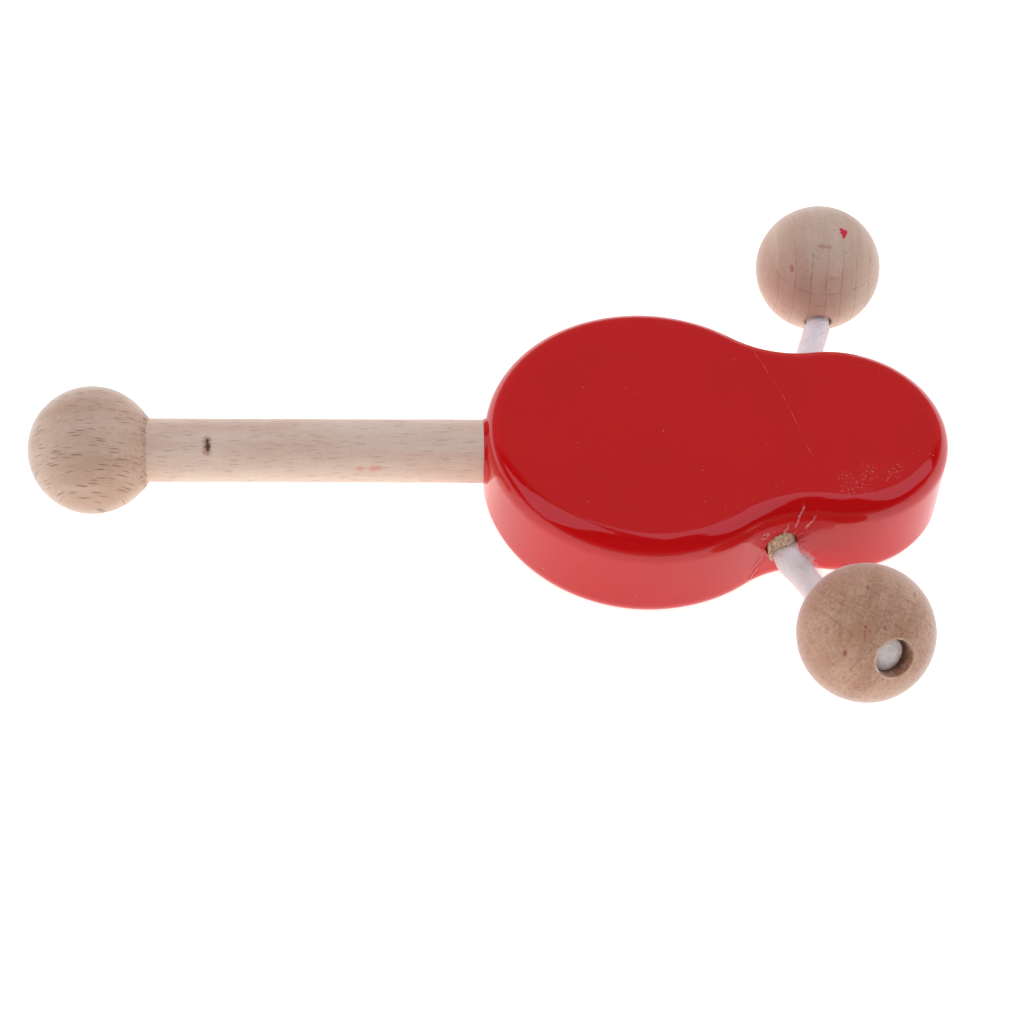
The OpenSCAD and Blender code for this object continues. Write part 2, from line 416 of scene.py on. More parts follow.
def bore_rim_and_shade(tree, coords, colour, middle, way, radius):
    """Pale fresh edge of a bore, and painted shade: the whole inside of the bore tinted darker brown."""
    offset = vectors(tree, "SUBTRACT", coords, tuple(middle))
    away = vectors(tree, "LENGTH", vectors(tree, "CROSS_PRODUCT", offset, tuple(way)))
    rim = maths(tree, "ABSOLUTE", maths(tree, "SUBTRACT", away, radius + 0.05 * MM))
    worn = ramp(tree, even_noise(tree, coords, 0.4, 3), 0.4, 0.6, 0.25, 1)
    rim = times(tree, ramp(tree, rim, 0.34 * MM, 0.1 * MM), worn)
    colour = tint(tree, rim, 0.5, colour, "#F2DCC6")
    # painted shade: darker brown inside the bore, where the hole lies in shadow
    return tint(tree, ramp(tree, away, radius, radius - 0.15 * MM), 0.75, colour, "#A0623C")


def torn_edge(tree, coords, edge_x):
    """Torn fibres where a ball's edge meets the dowel."""
    away = maths(tree, "ABSOLUTE", maths(tree, "SUBTRACT", parts_of(tree, coords)[0], edge_x))
    torn = ramp(tree, noise_of(tree, scaled(tree, coords, (0.5, 1.4, 1.4)), 3, 0.7), 0.55, 0.68)
    return times(tree, ramp(tree, away, 1.5 * MM, 0.4 * MM), torn)


def beech(name, pale, warm, grain, across, centre, flecks, lines=(), spots=(), edge_x=None, speckle=0.0,
          bore=None, sheen=0.65):
    """Bare sanded beech: pale and matt, with fine fibres, short brown ray flecks and faint growth lines.
    In its own axes x runs along the grain, y across the rays and z across the growth rings."""
    material, tree, coords = start_material(name)
    turn = wood_turn(grain, across)
    wavy = pushed(tree, coords, 0.2, 2.0, (0.6 * MM,) * 3)
    fibres = noise_of(tree, scaled(tree, wavy, (0.28, 2.6, 2.6), turn, centre), 4, 0.6)
    bands = noise_of(tree, scaled(tree, wavy, (0.04, 0.3, 0.14), turn, centre), 3)
    colour = mix(tree, ramp(tree, bands, 0.3, 0.7), linear(pale), linear(warm))
    colour = tint(tree, ramp(tree, fibres, 0.5, 0.78), 0.25, colour, "#A67B64")
    colour = tint(tree, ramp(tree, fibres, 0.45, 0.22), 0.25, colour, "#F6E6DA")
    # Flecks are dashes about 2 mm long and a quarter of a millimetre wide, some fainter than others
    cells = cells_of(tree, scaled(tree, wavy, (0.25, 2.6, 0.12), turn, centre))
    pick = add(tree, "ShaderNodeSeparateColor", None, {0: cells["Color"]}).outputs[0]
    fleck = ramp(tree, cells["Distance"], 0.36, 0.14)
    fleck = times(tree, fleck, ramp(tree, pick, 0.0, 0.55, 0.1, 1))
    colour = tint(tree, fleck, flecks, colour, "#74422E")
    height = maths(tree, "SUBTRACT", times(tree, fibres, 0.4), fleck)
    # Dark and pale pores of end grain, up to half a millimetre wide
    pores = even_noise(tree, coords, 1.6, 4, 0.7)
    colour = tint(tree, ramp(tree, pores, 0.5, 0.72), speckle, colour, "#80492C")
    colour = tint(tree, ramp(tree, pores, 0.46, 0.28), speckle * 0.6, colour, "#EBD3C0")
    for line, strength in growth_lines(tree, coords, wavy, turn, centre, lines):
        colour = tint(tree, line, strength, colour, "#6E3A24")
        height = maths(tree, "SUBTRACT", height, times(tree, line, strength))
    if spots:
        colour = wood_spots(tree, coords, colour, spots)
    if bore:
        # pale rim of the bore, and painted shade inside it
        colour = bore_rim_and_shade(tree, coords, colour, *bore)
    if edge_x is not None:
        torn = torn_edge(tree, coords, edge_x)
        colour = tint(tree, torn, 0.75, colour, "#5E3C2E")
        height = maths(tree, "SUBTRACT", height, torn)
    end_material(tree, {
        "Base Color": colour, "Roughness": 0.6, "IOR": 1.45, "Sheen Weight": sheen, "Sheen Roughness": 0.35,
        "Normal": bump(tree, height, 0.03 * MM),
    })
    return material


def cotton(name, way):
    """Soft white cotton yarn: matt, faintly pink, with painted shade in its furrows; light passes a little
    way through it.
    """
    material, tree, coords = start_material(name)
    along = wood_turn(way, (0, 0, 1))
    cloud = noise_of(tree, scaled(tree, coords, (0.25, 0.7, 0.7), along), 3)
    fine = noise_of(tree, scaled(tree, coords, (0.7, 2.6, 2.6), along), 4, 0.65)
    colour = mix(tree, ramp(tree, cloud, 0.3, 0.7), linear("#FAF0EF"), linear("#FEFBFA"))
    # painted shade: a little darker where the fine bump is low, in the furrows between fibres
    colour = tint(tree, ramp(tree, fine, 0.52, 0.3), 0.6, colour, "#E3D5D7")
    end_material(tree, {
        "Base Color": colour, "Roughness": 0.9, "IOR": 1.45, "Sheen Weight": 0.3, "Sheen Roughness": 0.5,
        "Subsurface Weight": 0.5, "Subsurface Radius": (1, 0.9, 0.9), "Subsurface Scale": 0.7 * MM,
        "Normal": bump(tree, fine, 0.12 * MM),
    })
    return material


def raw_peg():
    """End grain of a split peg: tan, granular, with dark pores."""
    material, tree, coords = start_material("rough peg wood")
    crumbs = even_noise(tree, coords, 1.5, 4, 0.7)
    colour = mix(tree, ramp(tree, crumbs, 0.4, 0.6), linear("#CBAA86"), linear("#F6E6CA"))
    colour = tint(tree, ramp(tree, crumbs, 0.36, 0.26), 0.7, colour, "#6E5038")
    end_material(tree, {
        "Base Color": colour, "Roughness": 0.85, "IOR": 1.45, "Normal": bump(tree, crumbs, 0.15 * MM),
    })
    return material


def white_floor():
    """Bright white table: it glows as white paper does under strong light, and keeps the object's shadow.
    From below it is clear, because the balls can hang lower than the table while the toy is twirled."""
    material, tree, coords = start_material("white table")
    paper = add(tree, "ShaderNodeBsdfDiffuse", None, {"Color": linear("#F2F2F2")})
    seen = add(tree, "ShaderNodeLightPath").outputs["Is Camera Ray"]
    strength = ramp(tree, parts_of(tree, coords)[2], 0.02, 0.3, 0.82, 0.1)
    strength = maths(tree, "ADD", times(tree, seen, 0.05), strength)
    glow = add(tree, "ShaderNodeEmission", None, {"Color": (1, 0.98, 0.94, 1), "Strength": strength})
    both = add(tree, "ShaderNodeAddShader", None, {0: paper.outputs[0], 1: glow.outputs[0]})
    below = add(tree, "ShaderNodeNewGeometry").outputs["Backfacing"]
    clear = add(tree, "ShaderNodeBsdfTransparent")
    shown = add(tree, "ShaderNodeMixShader", None, {0: below, 1: both.outputs[0], 2: clear.outputs[0]})
    add(tree, "ShaderNodeOutputMaterial", inputs={"Surface": shown.outputs[0]})
    return material


# Mesh helpers
def new_mesh(name, points, faces):
    mesh = bpy.data.meshes.new(name)
    mesh.from_pydata([tuple(p) for p in points], [], faces)
    return mesh


def make_piece(name, points, faces, material):
    """A smooth mesh object with its place in its mesh and its faces outward."""
    mesh = new_mesh(name, points, faces)
    build = bmesh.new()
    build.from_mesh(mesh)
    finish_mesh(build, mesh)
    return place(name, mesh, material)


def finish_mesh(build, mesh):
    bmesh.ops.recalc_face_normals(build, faces=build.faces)
    build.to_mesh(mesh)
    build.free()
    mesh.shade_smooth()
    mesh.set_sharp_from_angle(angle=math.radians(50))


def place(name, mesh, material):
    mesh.materials.append(material)
    obj = bpy.data.objects.new(name, mesh)
    bpy.context.collection.objects.link(obj)
    return obj


def grid_faces(rows, columns, wrap_rows=False):
    """Quads over rows of points, where each row is a closed ring."""
    faces = []
    for r in range(rows if wrap_rows else rows - 1):
        here, below = r * columns, (r + 1) % rows * columns
        for c in range(columns):
            beside = (c + 1) % columns
            faces.append((here + c, here + beside, below + beside, below + c))
    return faces


def capped_faces(rows, columns):
    """The same, with the first and last ring closed by a face."""
    last = (rows - 1) * columns
    caps = [tuple(range(columns - 1, -1, -1)), tuple(range(last, last + columns))]
    return grid_faces(rows, columns) + caps


def circle(sides):
    """Evenly spaced points on a circle of radius 1."""
    angles = [2 * math.pi * k / sides for k in range(sides)]
    return [(math.cos(a), math.sin(a)) for a in angles]


def turned(name, section, at, way, sides, material, rough, closed=True):
    """A piece turned from a section of (along, radius) points about an axis, and roughened."""
    across = way.cross(Vector((0, 0, 1))).normalized()
    over = across.cross(way)
    points = []
    for along, radius in section:
        for x, y in circle(sides):
            out = x * across + y * over
            points.append(rough(at + along * way + radius * out, out, along))
    if closed:
        faces = grid_faces(len(section), sides, True)
    else:
        faces = capped_faces(len(section), sides)
    return make_piece(name, points, faces, material)


# The block
def outline():
    """Points and outward normals round the block, seen from above."""
    big_turn = math.atan2(WAIST_Y, WAIST_X)
    small_turn = math.atan2(WAIST_Y, WAIST_X - LOBE_PITCH)
    fine, coarse = 0.22 * MM, 0.5 * MM
    arcs = [
        ((0, 0), BIG_R, big_turn, 2 * math.pi - big_turn, coarse, 1),
        ((WAIST_X, -WAIST_Y), WAIST_R, math.pi - big_turn, math.pi - small_turn, fine, -1),
        ((LOBE_PITCH, 0), SMALL_R, -small_turn, small_turn, coarse, 1),
        ((WAIST_X, WAIST_Y), WAIST_R, small_turn - math.pi, big_turn - math.pi, fine, -1),
    ]
    points, normals = [], []
    for centre, radius, first, last, step, sign in arcs:
        count = max(8, round(abs(last - first) * radius / step))
        for k in range(count):
            a = first + (last - first) * k / count
            out = Vector((math.cos(a), math.sin(a), 0))
            points.append(Vector((*centre, 0)) + radius * out)
            normals.append(sign * out)
    return points, normals


def block_section():
    """Inset and height from the middle of the top, over the rim, to the middle of the bottom."""
    steps = 12
    inward = [18, 14, 10, 7, 5.2]
    rim = [math.radians(90 * k / steps) for k in range(steps + 1)]
    top = [(i * MM, BLOCK_T) for i in inward]
    top += [(EDGE_R * (1 - math.sin(a)), BLOCK_T - EDGE_R * (1 - math.cos(a))) for a in rim]
    wall_steps = 48
    wall = [(0, BLOCK_T - EDGE_R - (BLOCK_T - 2 * EDGE_R) * k / wall_steps) for k in range(1, wall_steps)]
    return top + wall + [(inset, BLOCK_T - z) for inset, z in reversed(top)]


def open_hole(build, at, way, radius, depth):
    """Opens a round hole in the wall: its rim is moved onto the circle and drawn inwards."""
    wall_reach = 12 * MM
    rim_reach = 1 * MM
    lip_depth = 0.2 * MM

    def height(point):
        return (point - at).dot(way)

    def beside(point):
        return point - at - height(point) * way

    def in_reach(point, limit):
        return beside(point).length < limit and abs(height(point)) < wall_reach

    inside = [f for f in build.faces if in_reach(f.calc_center_median(), radius)]
    bmesh.ops.delete(build, geom=inside, context="FACES")
    rim = [e for e in build.edges if e.is_boundary and in_reach(e.verts[0].co, radius + rim_reach)]
    build.normal_update()
    for vert in {v for e in rim for v in e.verts}:
        out = beside(vert.co)
        shift = out.normalized() * radius - out
        vert.co += shift - way * (shift.dot(vert.normal) / way.dot(vert.normal))
    for inward in (lip_depth, depth):
        drawn = bmesh.ops.extrude_edge_only(build, edges=rim)["geom"]
        rim = [e for e in drawn if isinstance(e, bmesh.types.BMEdge) and e.is_boundary]
        for vert in {v for e in rim for v in e.verts}:
            vert.co -= way * (height(vert.co) + depth if inward == depth else inward)
    return rim


def nick_lift(point):
    """How far torn lacquer stands up at a point: the lip of a nick, with a shallow furrow beside it."""
    reach, width = 1 * MM, 0.2 * MM
    lip_height, furrow_depth, furrow_at = 0.2 * MM, 0.12 * MM, 0.4 * MM
    lift = 0.0
    for nick in NICKS:
        for start, end in zip(route_mm(nick), route_mm(nick[1:])):
            along = end - start
            part = min(1, max(0, (point - start).dot(along) / along.length_squared))
            offset = point - start - part * along
            if offset.length < reach:
                lip = lip_height * bell(offset.length / width)
                furrow = furrow_depth * bell((offset.x - furrow_at) / width)
                lift = max(lift, lip - furrow, key=abs)
    return lift


def uneven_lacquer(point):
    """How far the lacquer stands out at a point: slow waves, and lumps and nicks at the near mouth."""
    flat = min(point.z, BLOCK_T - point.z) < 0.01 * MM
    lift = 0 if flat else 0.04 * MM * noise.noise(point / (14 * MM))
    away = (point - Vector((CROSS_X, -MOUTH_Y, CROSS_Z))).length - CROSS_R
    if -0.3 * MM < away < 4 * MM and abs(point.y + MOUTH_Y) < 2 * MM:
        lift += 0.25 * MM * math.exp(-abs(away) / (1.1 * MM)) * noise.noise(point / (0.8 * MM))
    if point.y < -18 * MM and 15 * MM < point.x < 32 * MM and point.z > 2 * MM:
        lift += nick_lift(point)
    return lift


def make_block(material):
    points, normals = outline()
    section = block_section()
    verts = []
    for inset, z in section:
        verts += [p - inset * n + Vector((0, 0, z)) for p, n in zip(points, normals)]
    mesh = new_mesh("lacquered_block", verts, capped_faces(len(section), len(points)))
    build = bmesh.new()
    build.from_mesh(mesh)
    bmesh.ops.recalc_face_normals(build, faces=build.faces)
    for side in (NEAR, FAR):
        open_hole(build, Vector((CROSS_X, side * MOUTH_Y, CROSS_Z)), Vector((0, side, 0)), CROSS_R, MOUTH_Y)
    rim = open_hole(build, Vector((-BIG_R, 0, ROD_Z)), -HANDLE_WAY, ROD_R + GLUE_GAP, ROD_SEAT)
    bmesh.ops.contextual_create(build, geom=rim)
    # Both cross holes reach the middle of the block, where they are joined
    middle = [v for v in build.verts if abs(v.co.y) < 0.01 * MM]
    bmesh.ops.remove_doubles(build, verts=middle, dist=0.08 * MM)
    build.normal_update()
    for vert in build.verts:
        vert.co += vert.normal * uneven_lacquer(vert.co)
    finish_mesh(build, mesh)
    obj = place("lacquered_block", mesh, material)
    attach(obj, "drum")
    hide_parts("drum_block")


def make_collar(material):
    """Lacquer that crept a little way along the dowel when the block was dipped."""
    profile = [(1.2, 0.02), (-0.12, 0.02), (-0.18, 0.08), (-0.12, 0.16), (0.1, 0.26), (0.5, 0.4), (1.2, 0.5)]
    section = [(inward * MM - BIG_R, ROD_R + height * MM) for inward, height in profile]

    def rough(point, out, along):
        return point + 0.08 * MM * noise.noise(out * 1.7) * HANDLE_WAY

    obj = turned("lacquer_collar", section, Vector((0, 0, ROD_Z)), HANDLE_WAY, 96, material, rough)
    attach(obj, "drum")


# Handle
def make_rod(material):
    left, right = -BIG_R - GRIP_LEN - BALL_SEAT, -BIG_R + ROD_SEAT
    length = right - left
    chamfer = 1 * MM
    pit_depth = 0.3 * MM
    steps = 270
    section = [(0, ROD_R - chamfer)]
    section += [(chamfer + (length - 2 * chamfer) * k / steps, ROD_R) for k in range(steps + 1)]
    section += [(length, ROD_R - chamfer)]

    def rough(point, out, along):
        dent = 0.03 * MM * noise.noise(Vector((point.x / (9 * MM), point.y / (2 * MM), point.z / (2 * MM))))
        offset = point - Vector(KNOT_PIT) * MM
        pit = bell(offset.x / (0.6 * MM)) * bell(offset.y / (1.5 * MM)) * bell(offset.z / (1.5 * MM))
        return point + out * (dent - pit_depth * pit)

    obj = turned("beech_dowel", section, Vector((left, 0, ROD_Z)), HANDLE_WAY, 128, material, rough, False)
    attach(obj, "drum")
    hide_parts("handle_rod")


def make_handle_ball(material):
    rim_at = math.sqrt(HANDLE_BALL_R**2 - ROD_R**2)
    rows = 90
    last = math.pi - math.atan2(ROD_R, rim_at)
    section = []
    for k in range(1, rows + 1):
        a = last * k / rows
        section.append((-HANDLE_BALL_R * math.cos(a), HANDLE_BALL_R * math.sin(a)))
    inner = ROD_R + GLUE_GAP
    section += [(rim_at - 0.3 * MM, inner), (rim_at - BALL_SEAT, inner)]

    def rough(point, out, along):
        chip = noise.noise(point / (0.7 * MM)) * 0.45 * MM * bell((along - rim_at) / (0.9 * MM))
        return point + chip * HANDLE_WAY + out * (0.4 * chip)

    at = Vector((HANDLE_BALL_X, 0, ROD_Z))
    obj = turned("beech_handle_ball", section, at, HANDLE_WAY, 144, material, rough, False)
    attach(obj, "drum")
    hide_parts("handle_ball")


# Beater balls and pegs
def make_beater(name, at, way, body, node, material):
    """Ball with a stepped bore: narrow where the cord enters, wide where its frayed end shows."""
    rim_round = 0.2 * MM
    narrow, wide = BORE_R, BORE_END_R - 0.1 * MM
    entry = math.asin((narrow + rim_round) / BEATER_R)
    outlet = math.asin((wide + rim_round) / BEATER_R)
    rows, wide_rows, narrow_rows = 120, 12, 10
    section = []
    for k in range(rows + 1):
        a = entry + (math.pi - entry - outlet) * k / rows
        section.append((-BEATER_R * math.cos(a), BEATER_R * math.sin(a)))
    front = BEATER_R * math.cos(outlet) - rim_round
    back = -BEATER_R * math.cos(entry) + rim_round
    step_at = BEATER_R - BORE_END_LEN
    turn = [math.radians(d) for d in (25, 50, 75, 90)]
    rim = [(rim_round * math.cos(t), rim_round * (1 - math.sin(t))) for t in turn]
    section += [(front + along, wide + out) for along, out in rim]
    section += [(front + (step_at - front) * k / wide_rows, wide) for k in range(1, wide_rows + 1)]
    section += [(step_at + (back - step_at) * k / narrow_rows, narrow) for k in range(narrow_rows)]
    section += [(back - along, narrow + out) for along, out in reversed(rim)]

    def rough(point, out, along):
        radial = (point - at - along * way).length
        torn_rim = along > 10.5 * MM and radial < wide + 0.5 * MM
        in_bore = radial < wide + 0.01 * MM and abs(along) < 11.8 * MM
        if torn_rim or in_bore:
            return point + out * 0.2 * MM * noise.noise(point / (0.7 * MM))
        return point

    obj = turned(name, section, at, way, 160, material, rough)
    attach(obj, body)
    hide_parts(node)


def make_peg(name, side, node, material):
    """Flat-sided peg with a split, crumbly end and a splinter that clings to the cord."""
    across = Vector((math.cos(SPREAD_TURN), 0, math.sin(SPREAD_TURN)))
    out_y = MOUTH_Y + PEG_PROUD
    centre = Vector((CROSS_X, 0, CROSS_Z))
    radius = CROSS_R - 0.06 * MM
    flat = SPREAD_FLAT / radius
    chord = math.sqrt(1 - flat**2)
    edge_drop, right_drop, splinter_length = 0.7 * MM, 2.2 * MM, 2 * MM
    rings, sides = 18, 96

    # The rim runs round the disc as far as its flat, then along the flat
    rim = []
    for x, y in circle(sides):
        if y < -flat:
            x, y = max(-chord, min(chord, x)), -flat
        rim.append(radius * (x * across + y * SPREAD_UP))
    points = [centre + at + Vector((0, side * (out_y - PEG_LEN), 0)) for at in rim]
    for r in range(rings, 0, -1):
        part = r / rings
        for at in rim:
            p = centre + at * part + 0.2 * radius * (1 - part) * SPREAD_UP
            crumbs = 0.4 * MM * noise.noise(p / (0.55 * MM) + Vector((0, side * 7, 0)))
            crumbs += 0.35 * MM * noise.noise(p / (1.6 * MM))
            left = -(p - centre).dot(across) / radius
            drop = edge_drop * max(0, part - 0.75) / 0.25
            drop += right_drop * max(0, -left - 0.35) / 0.65
            splinter = splinter_length * max(0, left - 0.55) / 0.45
            reach = out_y + crumbs - drop + 0.8 * splinter
            points.append(p + Vector((0.3 * splinter, side * reach, -0.5 * splinter)))
    obj = make_piece(name, points, capped_faces(rings + 1, sides), material)
    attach(obj, "drum")
    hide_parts(node)


# Cord
def smooth_path(points, step):
    """Evenly spaced points on a smooth curve through the given ones."""
    parts = 24
    fine = []
    ends = [2 * points[0] - points[1], *points, 2 * points[-1] - points[-2]]
    for a, b, c, d in zip(ends, ends[1:], ends[2:], ends[3:]):
        for t in (k / parts for k in range(parts)):
            square = (2 * a - 5 * b + 4 * c - d) * t**2
            cube = (3 * b - a - 3 * c + d) * t**3
            fine.append(0.5 * (2 * b + (c - a) * t + square + cube))
    fine.append(points[-1])
    runs = np.concatenate([[0], np.cumsum([(q - p).length for p, q in zip(fine, fine[1:])])])
    count = max(2, round(runs[-1] / step))
    wanted = np.linspace(0, runs[-1], count + 1)
    table = np.array(fine)
    return [Vector(v) for v in np.stack([np.interp(wanted, runs, table[:, k]) for k in range(3)], 1)]


def cord_points(route, way, ball, side):
    """Middle line of one side's cord, from inside the block to its end in the ball."""
    inside = [Vector((route[0].x, side * y * MM, route[0].z)) for y in (1, 8, 15, 20)]
    off = way.cross(Vector((0, 0, 1))).normalized() * -side
    aside = (BORE_R - CORD_R) * off
    end_aside = 0.55 * MM * off
    tail = [ball + along * MM * way + aside for along in (-9, -4, 1)]
    tail += [ball + 5 * MM * way + end_aside, ball + (0.9 * MM - BEATER_R + CORD_TAIL) * way + end_aside]
    return inside + route + tail


def tube(name, path, first_run, side, ball, way, material, end_cap):
    """Soft three-ply cord along a path, squeezed flat beside its peg, drawn thin where it enters
    the ball and frayed at its end there. Its fuzz value says how thickly fibres grow."""
    sides = 48
    ply_height, ply_pitch = 0.06 * MM, 2.4 * MM
    lump_height, lump_size = 0.11 * MM, 1.3 * MM
    sag = Vector((0, 0, 1.1 * MM))
    loose_way = Vector((0.8, 0, 0.6))
    points = []
    fuzz = []
    across = Vector((1, 0, 0))
    run = first_run
    for k, p in enumerate(path):
        ahead = (path[min(k + 1, len(path) - 1)] - path[max(k - 1, 0)]).normalized()
        across = (across - across.dot(ahead) * ahead).normalized()
        over = ahead.cross(across)
        if k:
            run += (p - path[k - 1]).length
        past_peg = side * p.y - (MOUTH_Y + PEG_PROUD)
        squeeze = 1 / (1 + math.exp(past_peg / (0.55 * MM)))
        in_ball = (p - ball).dot(way)
        past_entry = in_ball + BEATER_R
        frayed = min(1, max(0, (in_ball - 2 * MM) / (2 * MM)))
        swollen = 0.25 * MM / (1 + math.exp((past_entry - 1.5 * MM) / (0.25 * MM)))
        pinch = 0.4 * MM * bell((past_entry - 0.2 * MM) / (0.9 * MM))
        radius = CORD_R + frayed * (CORD_END_R + 0.25 * MM - CORD_R) + swollen - pinch
        for s in range(sides):
            a = 2 * math.pi * s / sides
            out = math.cos(a) * across + math.sin(a) * over
            ply = ply_height * math.cos(3 * a - run / ply_pitch)
            lump = lump_height * noise.noise((p + CORD_R * out) / lump_size)
            flat = out - squeeze * 0.5 * out.dot(SPREAD_UP) * SPREAD_UP
            points.append(p - squeeze * sag + (radius + ply + lump) * flat)
            loose = 1.7 * max(0, out.dot(loose_way)) * bell((past_peg - 2.5 * MM) / (2.5 * MM))
            fuzz.append((1.0 - squeeze) * (0.5 + loose) if past_peg > -0.3 * MM else 0.0)
    rings = len(path)
    if end_cap:
        ahead = (path[-1] - path[-2]).normalized()
        last_ring = points[-sides:]
        for scale, lift in ((0.8, 0.35), (0.5, 0.6), (0.2, 0.7)):
            for point in last_ring:
                p = path[-1] + (point - path[-1]) * scale
                lump = 0.25 * MM * noise.noise(p / (0.5 * MM))
                points.append(p + ahead * (lift * MM + lump))
                fuzz.append(0.5)
            rings += 1
    obj = make_piece(name, points, capped_faces(rings, sides), material)
    shade = obj.data.attributes.new("fuzz", "FLOAT", "POINT")
    shade.data.foreach_set("value", fuzz)
    return obj


def fuzz_tree(material):
    """Geometry Nodes tree that grows short curled fibres where the cord's own fuzz value allows it."""
    tree = bpy.data.node_groups.new("cord fuzz", "GeometryNodeTree")
    kinds = {
        "Geometry": "Geometry", "Density": "Float", "Fibre length": "Float", "Fibre radius": "Float",
        "Seed": "Int",
    }
    for name, kind in kinds.items():
        tree.interface.new_socket(name, in_out="INPUT", socket_type=f"NodeSocket{kind}")
    tree.interface.new_socket("Geometry", in_out="OUTPUT", socket_type="NodeSocketGeometry")
    given = add(tree, "NodeGroupInput").outputs
    amount = add(tree, "GeometryNodeInputNamedAttribute", {"data_type": "FLOAT"}, {"Name": "fuzz"})
    density = times(tree, amount.outputs["Attribute"], given["Density"])
    spread = add(tree, "GeometryNodeDistributePointsOnFaces", {"distribute_method": "RANDOM"}, {
        "Mesh": given["Geometry"], "Density": density, "Seed": given["Seed"],
    })
    curl = add(tree, "GeometryNodeCurveQuadraticBezier", None, {
        "Resolution": 4, "Start": (0, 0, 0), "Middle": (0.15, 0, 0.6), "End": (0.75, 0.2, 0.8),
    })
    thick = maths(tree, "DIVIDE", given["Fibre radius"], given["Fibre length"])
    ring = add(tree, "GeometryNodeCurvePrimitiveCircle", None, {"Resolution": 3, "Radius": thick})
    fibre = add(tree, "GeometryNodeCurveToMesh", None, {
        "Curve": curl.outputs[0], "Profile Curve": ring.outputs[0],
    })
    spin = add(tree, "FunctionNodeRandomValue", {"data_type": "FLOAT_VECTOR"}, {
        0: (-0.7, -0.7, 0), 1: (0.7, 0.7, 6.28), "Seed": given["Seed"],
    })
    turn = add(tree, "FunctionNodeRotateRotation", {"rotation_space": "LOCAL"}, {
        "Rotation": spread.outputs["Rotation"], "Rotate By": spin.outputs["Value"],
    })
    size = add(tree, "FunctionNodeRandomValue", {"data_type": "FLOAT"}, {
        2: 0.4, 3: 1.2, "Seed": given["Seed"],
    })
    longer = maths(tree, "ADD", times(tree, amount.outputs["Attribute"], 0.6), 0.6)
    scale = times(tree, times(tree, size.outputs[1], given["Fibre length"]), longer)
    grown = add(tree, "GeometryNodeInstanceOnPoints", None, {
        "Points": spread.outputs["Points"], "Instance": fibre.outputs[0],
        "Rotation": turn.outputs[0], "Scale": scale,
    })
    real = add(tree, "GeometryNodeRealizeInstances", None, {"Geometry": grown.outputs[0]})
    both = add(tree, "GeometryNodeJoinGeometry")
    tree.links.new(given["Geometry"], both.inputs[0])
    tree.links.new(real.outputs[0], both.inputs[0])
    done = add(tree, "GeometryNodeSetMaterial", None, {"Geometry": both.outputs[0], "Material": material})
    add(tree, "NodeGroupOutput", inputs={"Geometry": done.outputs[0]})
    return tree


def grow_fuzz(obj, tree, values):
    """Runs the fuzz tree on a cord and keeps the result as its plain mesh."""
    modifier = obj.modifiers.new("fuzz", "NODES")
    modifier.node_group = tree
    for item in tree.interface.items_tree:
        if item.in_out == "INPUT" and item.name in values:
            modifier[item.identifier] = values[item.name]
    depsgraph = bpy.context.evaluated_depsgraph_get()
    grown = bpy.data.meshes.new_from_object(obj.evaluated_get(depsgraph))
    obj.modifiers.remove(modifier)
    obj.data = grown


def make_cord(label, route, way, ball, side, pivot, sweep, seed):
    """One side's cord in two stretches, split part way from the mouth of the hole towards the ball."""
    material = cotton(f"white cotton cord {label}", route[-1] - route[0])
    tree = fuzz_tree(material)
    path = smooth_path(cord_points(route, way, ball, side), 0.4 * MM)
    reach = (sweep - pivot).length
    way_out = (sweep - pivot) / reach
    split = pivot + 0.5 * reach * way_out
    at = min(range(len(path)), key=lambda k: (path[k] - split).length)
    run_before = sum((q - p).length for p, q in zip(path[:at - 1], path[1:at]))
    values = {"Density": 7 / MM**2, "Fibre length": 0.8 * MM, "Fibre radius": 0.009 * MM, "Seed": seed}
    kept = path[at - 1:]
    first = tube(f"{label}_cord_mouth", path[: at + 2], 0.0, side, ball, way, material, False)
    grow_fuzz(first, tree, values)
    run = tube(f"{label}_cord_run", kept, run_before, side, ball, way, material, True)
    grow_fuzz(run, tree, values)
    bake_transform(first)
    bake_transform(run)
    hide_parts(f"{label}_cord", f"{label}_cord_tail")
    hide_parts("cord_core")
    length = sum((q - p).length for p, q in zip(kept, kept[1:]))
    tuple(kept[0])


NEAR_PIVOT, NEAR_SWEEP = route_mm([(25, -23.5, 10), (28.4, -26.65, 7.1)])
FAR_PIVOT, FAR_SWEEP = route_mm([(25, 23.5, 10), (31.4, 26.3, 8.7)])
make_cord("near", NEAR_ROUTE, NEAR_WAY, NEAR_BALL, NEAR, NEAR_PIVOT, NEAR_SWEEP, 3)
make_cord("far", FAR_ROUTE, FAR_WAY, FAR_BALL, FAR, FAR_PIVOT, FAR_SWEEP, 8)

lacquer = red_lacquer()
make_block(lacquer)
make_collar(lacquer)
make_rod(beech(
    "pale beech dowel", "#EED4C0", "#E6C5AF", HANDLE_WAY, (0, 0.8, 0.6), (0, 0, ROD_Z), 0.25,
    speckle=0.1, sheen=0.55,
    spots=[
        (*KNOT_HALO, 0.35, 1.15, "#A8664C", 0.6),
        (*KNOT_CORE, 0.22, 0.55, "#38221F", 0.85),
        ((-50.3, -5.75, 13.7), (-51.6, -5.75, 13.5), 0.1, 0.95, "#E58078", 0.6),
        ((-53.5, -5.8, 13.5), (-54.1, -5.8, 13.5), 0.1, 0.85, "#E59080", 0.5),
    ],
))
make_handle_ball(beech(
    "beech handle ball", "#DBBDA5", "#CBA68D", HANDLE_WAY, (0, 0.9, 0.43), (HANDLE_BALL_X, 0, ROD_Z), 0.62,
    edge_x=-BIG_R - GRIP_LEN, speckle=0.2, sheen=0.9,
))
